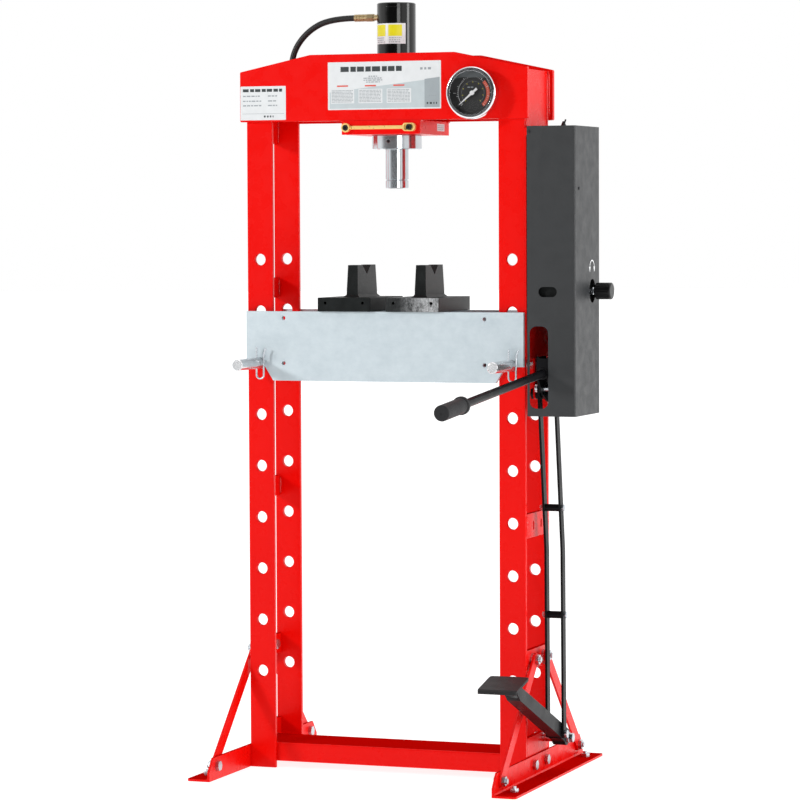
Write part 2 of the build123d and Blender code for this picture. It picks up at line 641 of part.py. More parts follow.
def pump_cover():
    """Folded sheet cover, open to the upright and at the bottom."""
    cover = block(COVER_X, (-COVER_Y, COVER_Y), COVER_Z)
    bends = cover.edges().filter_by(Axis.Z).group_by(Axis.X)[-1]
    cover = fillet(bends, COVER_BEND)
    inside = (-COVER_Y + COVER_WALL, COVER_Y - COVER_WALL)
    hollow = block(
        (COVER_X[0] - 1, COVER_X[1] - COVER_WALL), inside, (COVER_Z[0] - 1, COVER_Z[1] - COVER_WALL)
    )
    cover -= fillet(hollow.edges().filter_by(Axis.Z).group_by(Axis.X)[-1], COVER_BEND - COVER_WALL)
    front = (-COVER_Y - 1, inside[0] + 1)
    handle_slot = Pos(HANDLE_SLOT_X, 904) * RectangleRounded(42, 178, 15)
    valve_slot = Pos(VALVE_SLOT_X, VALVE_Z) * SlotOverall(42, 22)
    cover -= slab_y(handle_slot, front) + slab_y(valve_slot, front)
    knob_hole = Pos(VALVE_Y, VALVE_Z + 0.5) * RectangleRounded(42, 52, 20.9)
    cover -= slab_x(knob_hole, (COVER_X[1] - 3, COVER_X[1] + 1))
    for sign, z in COVER_SCREWS:
        cover -= rod_y(2.1, sorted((sign * 82, sign * 120)), COVER_SCREW_X, z)
    vent_x, vent_y, vent_z = VENT_ROUTE[-2]
    cover -= rod_z(3.5, (vent_z - 4, vent_z + 4), vent_x, vent_y)
    return cover - rod_x(2.1, (COVER_X[1] - 3, COVER_X[1] + 1), *SIDE_SCREW)


def cover_screws():
    solids = []
    for sign, z in COVER_SCREWS:
        head = rod_y(3.4, sorted((sign * COVER_Y, sign * (COVER_Y + 1.8))), COVER_SCREW_X, z)
        shank = rod_y(2, sorted((sign * 80, sign * COVER_Y)), COVER_SCREW_X, z)
        solids.append(head + shank)
    side = rod_x(3.4, (COVER_X[1], COVER_X[1] + 1.8), *SIDE_SCREW)
    return solids + [side + rod_x(2, (COVER_X[1] - 8, COVER_X[1]), *SIDE_SCREW)]


# ---------------------------------------------------------------- handle, links, pedal

def along_handle(start, end, radius, squared=False):
    """A round bar on the handle axis between two Y stations."""
    slope = math.tan(math.radians(HANDLE_SLOPE))
    a = (DRIVE_X, start, HANDLE_AXIS_Z + start * slope)
    b = (DRIVE_X, end, HANDLE_AXIS_Z + end * slope)
    place = Plane(a, z_dir=Vector(*b) - Vector(*a))
    return extrude(place * Circle(radius), (Vector(*b) - Vector(*a)).length)


def handle_lever():
    y, z = LEVER_PIVOT
    outline = outline_of(
        (-64, 852), (-50, 842), (y, 826), (PLUNGER_Y + 2, 833), (PLUNGER_Y + 14, 841),
        (PLUNGER_Y + 14, 853), (6, 868), (-14, 912), (-30, 927), (-84, 927), (-84, 880),
    )
    outline = fillet(outline.vertices(), 4)
    outline -= Pos(PLUNGER_Y, PLUNGER_PIN_Z) * SlotOverall(18, 11.8)
    outline -= Pos(y, z) * Circle(8.1) + Pos(*LINK_TOP) * Circle(6.1)
    lever = Part()
    for sign in (-1, 1):
        lever += slab_x(outline, sorted(DRIVE_X + sign * x for x in LEVER_CHEEK))
    half = LEVER_CHEEK[1]
    lever += block((DRIVE_X - half, DRIVE_X + half), (-84, -80), (884, 923))
    lever += along_handle(-30, -86, 13)
    return lever - along_handle(-36, -90, SHAFT_R + 0.1)


def handle_shaft():
    return along_handle(-37, -690, SHAFT_R)


def handle_grip():
    grip = along_handle(GRIP_START, -744, GRIP_R)
    grip = fillet(grip.edges().filter_by(GeomType.CIRCLE), 4)
    collar = along_handle(GRIP_START, GRIP_START - 13, GRIP_R + 2.5)
    grip += fillet(collar.edges().filter_by(GeomType.CIRCLE), 4)
    grip -= along_handle(-743, -745, 1.6)
    return grip - along_handle(GRIP_START + 1, -690.5, SHAFT_R + 0.02)


def lever_pivot():
    """Bolt, sleeve and nut on which the lever swings, in the tongue of the bracket."""
    y, z = LEVER_PIVOT
    end = DRIVE_X + LEVER_CHEEK[1] + 0.5
    bolt = rod_x(8, (BAR_OUT, end + 9), y, z) + hex_x(22, (BAR_OUT - 7, BAR_OUT), y, z)
    sleeve = rod_x(12, (BAR_OUT + 4, DRIVE_X - LEVER_CHEEK[1] - 0.5), y, z)
    sleeve -= rod_x(8.02, (BAR_OUT, DRIVE_X), y, z)
    nut = hex_x(20, (end, end + 9), y, z) - rod_x(8.02, (0, 500), y, z)
    return [bolt, sleeve, nut]


def pedal_pivot():
    """Bolt, nut, sleeve and washer on which the pedal swings, in the bottom tie."""
    y, z = PEDAL_PIVOT
    inner = BAR_OUT - TIE_THICK
    bolt = rod_x(7, (inner - 9, DRIVE_X + 21), y, z) + hex_x(18, (DRIVE_X + 21, DRIVE_X + 30), y, z)
    nut = hex_x(20, (inner - 8, inner), y, z) - rod_x(7.02, (inner - 9, inner + 1), y, z)
    sleeve = rod_x(11, (BAR_OUT, DRIVE_X - 15.5), y, z)
    sleeve -= rod_x(7.02, (BAR_OUT, DRIVE_X), y, z)
    washer = rod_x(11, (DRIVE_X + 15.5, DRIVE_X + 21), y, z) - rod_x(7.02, (DRIVE_X, 500), y, z)
    return [bolt, nut, sleeve, washer]


def link_bar(x):
    bar = slab_x(strap_outline([LINK_FOOT, LINK_BEND, LINK_TOP], LINK_WIDTH), (x, x + LINK_THICK))
    bar -= rod_x(5.6, (x - 1, x + LINK_THICK + 1), *LINK_FOOT)
    bar -= rod_x(6.05, (x - 1, x + LINK_THICK + 1), *LINK_TOP)
    for z in SPACER_HEIGHTS:
        bar -= rod_x(4.05, (x - 1, x + LINK_THICK + 1), link_y(z), z)
    return bar


def link_y(z):
    """The Y of the link bars' centre line at a height."""
    low, high = (LINK_FOOT, LINK_BEND) if z < LINK_BEND[1] else (LINK_BEND, LINK_TOP)
    return low[0] + (high[0] - low[0]) * (z - low[1]) / (high[1] - low[1])


def link_spacers():
    solids = []
    for z in SPACER_HEIGHTS:
        tube = rod_x(8, (LINK_X[0] + LINK_THICK, LINK_X[1]), link_y(z), z)
        solids.append(tube - rod_x(4.05, (0, 500), link_y(z), z))
    return solids


def link_bolts():
    """The spacer bolts and the pin that hangs the bars on the lever."""
    left, right = LINK_X[0], LINK_X[1] + LINK_THICK
    solids = []
    for z in SPACER_HEIGHTS:
        solids += bolt_x(4, right, left, link_y(z), z)
    pin = rod_x(6, (left - 3, right + 3), *LINK_TOP)
    for x in ((left - 6, left), (right, right + 6)):
        pin += rod_x(9, x, *LINK_TOP)
    return solids + [pin]


def pedal_arm():
    """Channel arm, open at the top, with deeper cheeks round the pivot."""
    x = (DRIVE_X - 15, DRIVE_X + 15)
    side = outline_of(
        (62, 66), (28, 75), (-288, 205.4), (-308, 222), (-308, 225.2), (-277, 231.9), (5, 117.8), (60, 95),
    )
    cheek = Pos(*PEDAL_PIVOT) * Circle(17) + Pos(*LINK_FOOT) * Circle(12)
    cheek += outline_of((LINK_FOOT[0], 82), (44, 64.5), (52, 94), (LINK_FOOT[0], 106))
    arm = slab_x(side + cheek, x)
    floor_line = outline_of(
        (80, 40), (80, 60), (28, 78.5), (-330, 226.2), (-330, 300), (80, 300),
    )
    arm -= slab_x(floor_line, (x[0] + 3, x[1] - 3))
    arm -= rod_x(7.1, (x[0] - 1, x[1] + 1), *PEDAL_PIVOT)
    return arm - rod_x(5.05, (x[0] - 1, x[1] + 1), *LINK_FOOT)


def pedal_pad():
    """Tread plate with rounded corners, rolled down at its front edge."""
    x = (292, 380)
    tread = outline_of(
        (-228, 242.5), (-228, 248), (-312, 229.8), (-318, 226.6), (-319, 221), (-315, 219.8),
        (-311.6, 224.6),
    )
    corners = rounded(block(x, (-319, -228), (210, 260)), Axis.Z, 7)
    return slab_x(tread, x) & corners


def pedal_pin():
    """The open pivot of the linkage: it passes through the feet of both bars."""
    left, right = LINK_X[0], LINK_X[1] + LINK_THICK
    pin = rod_x(5, (left - 1, right + 1), *LINK_FOOT)
    for x in ((left - 5, left - 0.6), (right + 0.6, right + 6)):
        pin += rod_x(8.5, x, *LINK_FOOT)
    return pin


# ---------------------------------------------------------------- bed

def bed_plate(front):
    """Outline with a round notch over each pin and slanting lower corners."""
    notch_r = PIN_R + 1.5
    notch_z = PIN_Z - 1.5 + 0.3
    outline = outline_of(
        (-BED_HALF, BED_TOP), (-BED_HALF, PIN_Z - 3), (-HOLE_X + 12, PIN_Z - 3),
        (-BED_CORNER_X, BED_BOTTOM), (BED_CORNER_X, BED_BOTTOM), (HOLE_X - 12, PIN_Z - 3),
        (BED_HALF, PIN_Z - 3), (BED_HALF, BED_TOP),
    )
    for sign in (-1, 1):
        outline -= Pos(sign * HOLE_X, notch_z) * Circle(notch_r)
        for hole_z in BED_HOLES_Z:
            outline -= Pos(sign * BED_HOLES_X, hole_z) * Circle(4.5)
    inner = HALF_DEPTH + BED_GAP
    y = (-inner - BED_PLATE, -inner) if front else (inner, inner + BED_PLATE)
    return slab_y(outline, y)


def bed_spacers():
    inner = HALF_DEPTH + BED_GAP
    solids = []
    for x in (-217, -6, 205):
        solids.append(block((x, x + 12), (-inner, inner), (BED_BOTTOM + 12, BED_TOP - 24)))
    return solids


def v_block(centre):
    width, depth, height = BLOCK_BASE
    base_z = BED_TOP + 0.3
    top = base_z + height
    base = block((centre - width / 2, centre + width / 2), (-depth / 2, depth / 2), (base_z, top))
    base = rounded(base, Axis.Z, 2.5)
    post_x = centre + BLOCK_POST_SHIFT
    post = loft([
        Pos(post_x, 0, top) * Rectangle(27, 124),
        Pos(post_x, 0, POST_TOP_Z) * Rectangle(22.5, 113),
    ])
    skirt = loft([
        Pos(post_x, 0, top) * Rectangle(38, 135),
        Pos(post_x, 0, top + 6) * Rectangle(26.6, 123),
    ])
    notch = outline_of((-26, POST_TOP_Z), (0, POST_TOP_Z - 21), (26, POST_TOP_Z), (26, 1200), (-26, 1200))
    body = base + post + skirt - slab_x(notch, (centre - 40, centre + 40))
    for sign in (-1, 1):
        for offset in (-44, 44):
            y = sorted((sign * (depth / 2 - 16), sign * (depth / 2 + 1)))
            body -= rod_y(3.4, y, centre + offset, 1042)
    return body


def bed_pin(side):
    pin = rod_y(PIN_R, (PIN_FRONT_Y, PIN_BACK_Y), side * HOLE_X, PIN_Z)
    pin = chamfer(pin.edges().filter_by(GeomType.CIRCLE), 2)
    return pin - rod_z(2.3, (PIN_Z - 20, PIN_Z + 20), side * HOLE_X, CLIP_Y)


def pin_clip(side):
    """Hairpin clip: one leg through the pin, the other sprung round it."""
    x = side * HOLE_X
    points = [
        (x, CLIP_Y, PIN_Z + 36), (x, CLIP_Y, PIN_Z - 34), (x + 17, CLIP_Y, PIN_Z - 34),
        (x + 17, CLIP_Y, PIN_Z + 18), (x + 22, CLIP_Y, PIN_Z + 34),
    ]
    path = FilletPolyline(*points, radius=[8, 8, 12])
    return sweep(Plane(path @ 0, z_dir=path % 0) * Circle(2), path=path)


def main():
    os.makedirs("parts", exist_ok=True)
    for side, label in ((-1, "left"), (1, "right")):
        save(f"upright_front_{label}", upright_bar(side, True))
        save(f"upright_rear_{label}", upright_bar(side, False))
        save(f"foot_{label}", foot(side))
        save(f"bed_pin_{label}", bed_pin(side))
        save(f"pin_clip_{label}", pin_clip(side))
        save(f"v_block_{label}", v_block(BLOCK_CENTRES[label]))
    save("tie_plates_left", *tie_plates(TIE_SPANS_LEFT, -1))
    save("tie_plates_right", *tie_plates(TIE_SPANS_RIGHT, 1))
    save("head_front_plate", head_plate(True))
    save("head_rear_plate", head_plate(False))
    save("base_channel", base_channel())
    save("foot_braces", *[brace(side, sign) for side in (-1, 1) for sign in (-1, 1)])
    save("frame_bolts", *frame_bolts())
    save("cylinder_mount", cylinder_mount())
    save("cylinder_barrel", cylinder_barrel())
    save("cylinder_cap", cylinder_cap())
    save("ram_collar", ram_collar())
    save("mount_screws", *mount_screws())
    save("mount_strap", mount_strap())
    save("ram_rod", ram_rod())
    save("ram_tip", ram_tip())
    save("ram_piston", ram_piston())
    save("return_spring", return_spring())
    save("pressure_hose", pressure_hose())
    save("hose_fittings", *hose_fittings())
    save("gauge_case", gauge_case())
    save("gauge_bezel", gauge_bezel())
    save("gauge_glass", gauge_glass())
    save("gauge_dial", gauge_dial())
    save("gauge_needle", gauge_needle())
    save("gauge_stem", *gauge_stem())
    save("pump_bracket", pump_bracket())
    save("pump_fasteners", *bracket_bolts(), *cover_screws())
    save("vent_tube", vent_tube())
    save("pump_block", pump_block())
    save("pump_tank", *pump_tank())
    save("pump_plunger", *pump_plunger())
    save("valve_spindle", *valve_spindle())
    save("release_knob", release_knob())
    save("pump_cover", pump_cover())
    save("handle_lever", handle_lever())
    save("handle_shaft", handle_shaft())
    save("handle_grip", handle_grip())
    save("lever_pivot", *lever_pivot())
    save("pedal_pivot", *pedal_pivot())
    save("link_bars", *[link_bar(x) for x in LINK_X])
    save("link_spacers", *link_spacers())
    save("link_bolts", *link_bolts())
    save("pedal_arm", pedal_arm())
    save("pedal_pad", pedal_pad())
    save("pedal_pin", pedal_pin())
    save("bed_front_plate", bed_plate(True))
    save("bed_rear_plate", bed_plate(False))
    save("bed_spacers", *bed_spacers())


main()
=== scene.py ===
import json
import math
import random

import bpy
from mathutils import Matrix, Vector


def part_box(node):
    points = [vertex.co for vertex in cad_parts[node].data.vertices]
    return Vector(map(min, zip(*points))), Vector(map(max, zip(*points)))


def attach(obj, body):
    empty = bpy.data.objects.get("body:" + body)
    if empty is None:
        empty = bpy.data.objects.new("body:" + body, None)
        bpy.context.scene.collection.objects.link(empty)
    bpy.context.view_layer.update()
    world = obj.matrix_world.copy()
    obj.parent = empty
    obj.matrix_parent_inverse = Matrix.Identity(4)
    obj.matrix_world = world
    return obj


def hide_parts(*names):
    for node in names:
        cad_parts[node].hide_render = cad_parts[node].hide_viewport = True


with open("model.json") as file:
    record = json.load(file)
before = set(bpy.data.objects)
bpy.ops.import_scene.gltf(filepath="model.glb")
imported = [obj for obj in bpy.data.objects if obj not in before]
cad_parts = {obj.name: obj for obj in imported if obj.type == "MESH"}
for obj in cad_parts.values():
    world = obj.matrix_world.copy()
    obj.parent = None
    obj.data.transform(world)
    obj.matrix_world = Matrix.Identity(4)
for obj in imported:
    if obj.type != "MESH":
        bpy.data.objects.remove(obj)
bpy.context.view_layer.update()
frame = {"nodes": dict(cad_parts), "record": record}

nodes = frame["nodes"]
MM = 0.001


# ---------------------------------------------------------------- camera and light

def make_camera():
    """A long lens from the right of the front, a little above the middle."""
    yaw, pitch, roll = math.radians(20.15), math.radians(2.97), math.radians(-0.24)
    forward = Vector((
        -math.sin(yaw) * math.cos(pitch), math.cos(yaw) * math.cos(pitch), -math.sin(pitch),
    ))
    right = forward.cross(Vector((0, 0, 1))).normalized()
    up = right.cross(forward)
    tilted_right = right * math.cos(roll) + up * math.sin(roll)
    tilted_up = tilted_right.cross(forward)
    data = bpy.data.cameras.new("camera")
    data.sensor_width = 36
    data.lens = 156.42
    data.clip_end = 60
    camera = bpy.data.objects.new("camera", data)
    bpy.context.scene.collection.objects.link(camera)
    turn = Matrix((tilted_right, tilted_up, -forward)).transposed().to_4x4()
    camera.matrix_world = Matrix.Translation((2.665, -7.250, 1.225)) @ turn
    bpy.context.scene.camera = camera


def area_light(name, place, target, width, height, power, tint=(1, 1, 1)):
    data = bpy.data.lights.new(name, "AREA")
    data.shape = "RECTANGLE"
    data.size, data.size_y = width, height
    data.energy = power
    data.color = tint
    light = bpy.data.objects.new(name, data)
    bpy.context.scene.collection.objects.link(light)
    aim = Vector(target) - Vector(place)
    light.rotation_mode = "QUATERNION"
    light.rotation_quaternion = aim.to_track_quat("-Z", "Y")
    light.location = place


def studio_world():
    """White behind and beside the object, dark straight in front of it."""
    world = bpy.data.worlds.new("studio")
    world.use_nodes = True
    tree = world.node_tree
    background = tree.nodes["Background"]
    coordinates = tree.nodes.new("ShaderNodeTexCoord")
    axes = tree.nodes.new("ShaderNodeSeparateXYZ")
    tree.links.new(coordinates.outputs["Generated"], axes.inputs[0])

    def math_node(operation, a, b=0.0):
        node = tree.nodes.new("ShaderNodeMath")
        node.operation = operation
        for socket, value in ((0, a), (1, b)):
            if isinstance(value, float):
                node.inputs[socket].default_value = value
            else:
                tree.links.new(value, node.inputs[socket])
        return node.outputs[0]

    depth = math_node("MULTIPLY", axes.outputs["Y"], 0.7)
    breadth = math_node("MULTIPLY", math_node("ABSOLUTE", axes.outputs["X"]), 0.8)
    height = math_node("MULTIPLY", math_node("ABSOLUTE", axes.outputs["Z"]), 0.35)
    place = math_node("ADD", math_node("ADD", depth, breadth), height)
    ramp = tree.nodes.new("ShaderNodeValToRGB")
    shift = tree.nodes.new("ShaderNodeMapRange")
    shift.inputs["From Min"].default_value = -1
    shift.inputs["From Max"].default_value = 1
    tree.links.new(place, shift.inputs["Value"])
    tree.links.new(shift.outputs["Result"], ramp.inputs["Fac"])
    stops = ramp.color_ramp.elements
    stops[0].position, stops[0].color = 0.34, (0.035, 0.035, 0.037, 1)
    stops[1].position, stops[1].color = 0.66, (1, 1, 1, 1)
    middle = stops.new(0.50)
    middle.color = (0.16, 0.16, 0.165, 1)
    tree.links.new(ramp.outputs["Color"], background.inputs["Color"])
    background.inputs["Strength"].default_value = 1.0
    return world


def make_studio():
    scene = bpy.context.scene
    scene.view_settings.view_transform = "Standard"
    scene.world = studio_world()
    area_light("key", (-4.4, -5.0, 3.0), (0, 0, 0.9), 0.8, 0.8, 160)
    area_light("fill", (3.4, -5.2, 1.6), (0, 0, 1.2), 2.0, 1.0, 34)
    area_light("side", (4.4, 0.3, 1.7), (0.2, 0, 1.0), 1.2, 3.2, 70)
    area_light("top", (0.4, -0.2, 4.2), (0, 0, 1), 2.6, 2.0, 14)

    mesh = bpy.data.meshes.new("floor")
    s = 60
    mesh.from_pydata([(-s, -s, 0), (s, -s, 0), (s, s, 0), (-s, s, 0)], [], [(0, 1, 2, 3)])
    floor = bpy.data.objects.new("floor", mesh)
    scene.collection.objects.link(floor)
    floor.location.z = -0.0005
    mesh.materials.append(floor_material())


# ---------------------------------------------------------------- materials

class Graph:
    """A small helper that adds and joins shader nodes."""

    def __init__(self, name):
        self.material = bpy.data.materials.new(name)
        self.material.use_nodes = True
        self.tree = self.material.node_tree
        self.shader = self.tree.nodes["Principled BSDF"]

    def add(self, kind, **values):
        node = self.tree.nodes.new(kind)
        for key, value in values.items():
            if key in node.inputs:
                node.inputs[key].default_value = value
            else:
                setattr(node, key, value)
        return node

    def join(self, a, b):
        self.tree.links.new(a, b)

    def place(self, scale=(1, 1, 1)):
        """Object coordinates in metres, stretched by a factor along each axis."""
        coordinates = self.add("ShaderNodeTexCoord")
        mapping = self.add("ShaderNodeMapping")
        mapping.inputs["Scale"].default_value = scale
        self.join(coordinates.outputs["Object"], mapping.inputs["Vector"])
        return mapping.outputs["Vector"]

    def noise(self, scale, detail=3, stretch=(1, 1, 1), rough=0.5):
        node = self.add("ShaderNodeTexNoise", Scale=scale, Detail=detail, Roughness=rough)
        self.join(self.place(stretch), node.inputs["Vector"])
        return node.outputs["Fac"]

    def ramp(self, value, low, high, start=0.0, end=1.0):
        node = self.add("ShaderNodeMapRange")
        node.inputs["From Min"].default_value = low
        node.inputs["From Max"].default_value = high
        node.inputs["To Min"].default_value = start
        node.inputs["To Max"].default_value = end
        self.join(value, node.inputs["Value"])
        return node.outputs["Result"]

    def mix(self, factor, a, b):
        node = self.add("ShaderNodeMix", data_type="RGBA")
        for socket, value in ((6, a), (7, b)):
            if isinstance(value, tuple):
                node.inputs[socket].default_value = (*value, 1)
            else:
                self.join(value, node.inputs[socket])
        if isinstance(factor, float):
            node.inputs[0].default_value = factor
        else:
            self.join(factor, node.inputs[0])
        return node.outputs[2]

    def math(self, operation, a, b):
        node = self.add("ShaderNodeMath", operation=operation)
        for socket, value in ((0, a), (1, b)):
            if isinstance(value, (int, float)):
                node.inputs[socket].default_value = value
            else:
                self.join(value, node.inputs[socket])
        return node.outputs[0]

    def edges(self, radius):
        """1 along sharp edges and 0 on flat faces, with the rounded normal beside it."""
        bevel = self.add("ShaderNodeBevel", samples=6, Radius=radius)
        flat = self.add("ShaderNodeNewGeometry")
        dot = self.add("ShaderNodeVectorMath", operation="DOT_PRODUCT")
        self.join(bevel.outputs["Normal"], dot.inputs[0])
        self.join(flat.outputs["Normal"], dot.inputs[1])
        return self.ramp(dot.outputs["Value"], 0.995, 0.85), bevel.outputs["Normal"]

    def facing(self):
        """The object-space normal, split into X, Y and Z."""
        coordinates = self.add("ShaderNodeTexCoord")
        axes = self.add("ShaderNodeSeparateXYZ")
        self.join(coordinates.outputs["Normal"], axes.inputs[0])
        return axes.outputs

    def bump(self, height, strength, distance, normal=None):
        node = self.add("ShaderNodeBump", Strength=strength, Distance=distance)
        self.join(height, node.inputs["Height"])
        if normal is not None:
            self.join(normal, node.inputs["Normal"])
        return node.outputs["Normal"]

    def finish(self, color=None, roughness=None, normal=None, **values):
        sockets = self.shader.inputs
        for key, value in values.items():
            sockets[key.replace("_", " ")].default_value = value
        for key, value in (("Base Color", color), ("Roughness", roughness), ("Normal", normal)):
            if value is None:
                continue
            if isinstance(value, tuple):
                sockets[key].default_value = (*value, 1)
            elif isinstance(value, float):
                sockets[key].default_value = value
            else:
                self.join(value, sockets[key])
        return self.material


def floor_material():
    g = Graph("floor")
    grain = g.noise(40, 4)
    color = g.mix(g.ramp(grain, 0.3, 0.7), (0.34, 0.34, 0.34), (0.37, 0.37, 0.37))
    g.shader.inputs["Emission Color"].default_value = (1, 1, 1, 1)
    g.shader.inputs["Emission Strength"].default_value = 0.86
    return g.finish(color, 0.7, g.bump(grain, 0.05, 0.001))


def paint(
    name, base, deep, roughness=0.3, coat=0.0, edge=None, peel=0.12, bevel=0.0012, specular=0.2,
):
    """Enamel: colour drift, orange peel, thin paint on edges; faces that point up get painted shade, a darker
    colour and no specular.
    """
    g = Graph(name)
    rim, normal = g.edges(bevel)
    drift = g.ramp(g.noise(3, 1), 0.3, 0.7)
    color = g.mix(drift, base, deep)
    if edge:
        worn = g.math("MULTIPLY", rim, g.ramp(g.noise(60, 5), 0.42, 0.62))
        color = g.mix(worn, color, edge)
    # Painted shade: faces that point up are mixed towards a darker copy of the colour and lose their specular.
    top = g.math("GREATER_THAN", g.facing()["Z"], 0.95)
    color = g.mix(g.math("MULTIPLY", top, 0.6), color, tuple(c * 0.3 for c in deep))
    g.join(g.ramp(top, 0, 1, specular, 0.0), g.shader.inputs["Specular IOR Level"])
    fine = g.noise(420, 2)
    rough = g.ramp(g.noise(30, 4), 0.3, 0.7, roughness - 0.05, roughness + 0.07)
    normal = g.bump(fine, peel, 0.0004, normal)
    return g.finish(color, rough, normal, Coat_Weight=coat, Coat_Roughness=0.08)


def powder(name, base, deep, roughness=0.5):
    """Powder coat: a fine pebbled skin with faint rub marks."""
    g = Graph(name)
    rim, normal = g.edges(0.0008)
    drift = g.ramp(g.noise(7, 4), 0.3, 0.7)
    rubs = g.ramp(g.noise(9, 5, (1, 1, 1.5), 0.6), 0.60, 0.75)
    color = g.mix(drift, base, deep)
    color = g.mix(g.math("MULTIPLY", rubs, 0.06), color, (0.10, 0.10, 0.105))
    color = g.mix(g.math("MULTIPLY", rim, 0.35), color, (0.07, 0.07, 0.075))
    pebbles = g.noise(1500, 2)
    rough = g.ramp(g.noise(40, 4), 0.3, 0.7, roughness - 0.06, roughness + 0.08)
    return g.finish(color, rough, g.bump(pebbles, 0.35, 0.0003, normal))


def metal(name, base, deep, roughness, stretch=(1, 1, 1), grain=300, strength=0.08, metallic=1.0):
    """Turned, ground or plated metal: fine lines along one direction and a dull drift."""
    g = Graph(name)
    _, normal = g.edges(0.0006)
    drift = g.ramp(g.noise(18, 5), 0.3, 0.7)
    lines = g.noise(grain, 3, stretch)
    color = g.mix(drift, base, deep)
    spread = g.math("MULTIPLY", g.ramp(lines, 0.3, 0.7), 0.5)
    both = g.math("ADD", spread, g.math("MULTIPLY", drift, 0.5))
    rough = g.ramp(both, 0, 1, roughness * 0.7, roughness * 1.4)
    return g.finish(color, rough, g.bump(lines, strength, 0.0003, normal), Metallic=metallic)


def zinc_sheet():
    """Zinc-plated plate: pale blue-grey, finely mottled; faces that point up get painted shade, much darker."""
    g = Graph("zinc_sheet")
    _, normal = g.edges(0.0008)
    clouds = g.ramp(g.noise(38, 7, (1, 1, 1.4), 0.72), 0.32, 0.68)
    color = g.mix(clouds, (0.50, 0.575, 0.615), (0.575, 0.645, 0.68))
    lines = g.noise(240, 4, (0.03, 1, 1), 0.6)
    scuffs = g.ramp(g.noise(90, 8, (0.25, 1, 1), 0.75), 0.62, 0.72)
    color = g.mix(g.math("MULTIPLY", scuffs, 0.25), color, (0.40, 0.45, 0.49))
    # Painted shade: faces that point up are mixed 85% towards near-black.
    top = g.math("GREATER_THAN", g.facing()["Z"], 0.9)
    color = g.mix(g.math("MULTIPLY", top, 0.85), color, (0.05, 0.055, 0.06))
    rough = g.ramp(clouds, 0, 1, 0.40, 0.52)
    return g.finish(color, rough, g.bump(lines, 0.06, 0.0003, normal), Metallic=0.45)


def cast_iron(name="cast_iron", worn_face=False):
    """Blackened casting with a painted sheen, higher specular on faces to +X; one variant has its front foot
    scratched bright.
    """
    g = Graph(name)
    rim, normal = g.edges(0.0015)
    drift = g.ramp(g.noise(40, 5), 0.3, 0.7)
    color = g.mix(drift, (0.003, 0.004, 0.004), (0.010, 0.012, 0.012))
    chips = g.math("MULTIPLY", rim, g.ramp(g.noise(150, 6, (1, 1, 1), 0.7), 0.48, 0.58))
    color = g.mix(g.math("MULTIPLY", chips, 0.6), color, (0.12, 0.12, 0.125))
    skin = g.noise(700, 6, (1, 1, 1), 0.7)
    rough = g.ramp(skin, 0.3, 0.7, 0.35, 0.6)
    if worn_face:
        coordinates = g.add("ShaderNodeTexCoord")
        place = g.add("ShaderNodeSeparateXYZ")
        g.join(coordinates.outputs["Object"], place.inputs[0])
        front = g.math("LESS_THAN", g.facing()["Y"], -0.9)
        front = g.math("MULTIPLY", front, g.math("LESS_THAN", place.outputs["Y"], -0.1))
        along = g.ramp(place.outputs["X"], 0.040, 0.110, 0.05, 1.0)
        scratches = g.ramp(g.noise(130, 8, (1, 1, 0.6), 0.85), 0.36, 0.60)
        ground = g.math("MULTIPLY", g.math("MULTIPLY", scratches, along), front)
        color = g.mix(ground, color, (0.52, 0.53, 0.54))
    # Painted highlight: the specular level is raised on faces that point to +X.
    painted_sheen = g.ramp(g.facing()["X"], 0.5, 0.9, 0.12, 0.38)
    g.join(painted_sheen, g.shader.inputs["Specular IOR Level"])
    return g.finish(color, rough, g.bump(skin, 0.5, 0.0006, normal))


def rubber(name, base, grain, strength, stretch=(1, 1, 1), roughness=0.5):
    g = Graph(name)
    _, normal = g.edges(0.0008)
    drift = g.ramp(g.noise(25, 4), 0.3, 0.7)
    color = g.mix(drift, base, tuple(c * 1.7 for c in base))
    skin = g.noise(grain, 4, stretch)
    rough = g.ramp(drift, 0, 1, roughness - 0.07, roughness + 0.08)
    return g.finish(color, rough, g.bump(skin, strength, 0.0005, normal), Specular_IOR_Level=0.3)


def plain(name, base, roughness=0.5, grain=900, strength=0.1, metallic=0.0):
    """Printed or moulded surfaces: a light drift in colour and a fine skin."""
    g = Graph(name)
    drift = g.ramp(g.noise(60, 4), 0.3, 0.7)
    color = g.mix(drift, base, tuple(c * 0.93 for c in base))
    rough = g.ramp(drift, 0, 1, roughness - 0.04, roughness + 0.05)
    return g.finish(color, rough, g.bump(g.noise(grain, 2), strength, 0.0001), Metallic=metallic)


def clear_glass():
    g = Graph("clear_glass")
    smear = g.noise(120, 4)
    rough = g.ramp(smear, 0.4, 0.7, 0.0, 0.06)
    g.material.use_transparency_overlap = True
    return g.finish(
        (0.0, 0.0, 0.0), rough, g.bump(smear, 0.01, 0.0002), Transmission_Weight=0.0, Alpha=0.13,
        IOR=1.5,
    )


RED = paint(
    "red_paint", (0.80, 0.003, 0.001), (0.76, 0.002, 0.001), 0.28, 0.0, (0.60, 0.006, 0.004), 0.12, 0.0012, 0.12,
)
WELD = paint(
    "red_weld", (0.76, 0.004, 0.002), (0.62, 0.003, 0.002), 0.22, 0.25, None, 0.05, 0.0004, 0.3,
)
BLACK_GLOSS = paint(
    "black_gloss", (0.002, 0.002, 0.002), (0.004, 0.004, 0.004), 0.10, 0.35, None, 0.03, 0.0012, 0.3,
)
BLACK = paint(
    "black_paint", (0.005, 0.005, 0.006), (0.008, 0.008, 0.009), 0.30, 0.0, (0.05, 0.05, 0.05), 0.25, 0.0008, 0.07,
)
MATT_BLACK = paint(
    "black_oxide", (0.010, 0.010, 0.011), (0.016, 0.016, 0.017), 0.55, 0.0, (0.05, 0.05, 0.05), 0.2, 0.0005,
)
POWDER = powder("dark_powder", (0.018, 0.020, 0.022), (0.016, 0.0175, 0.019), 0.44)
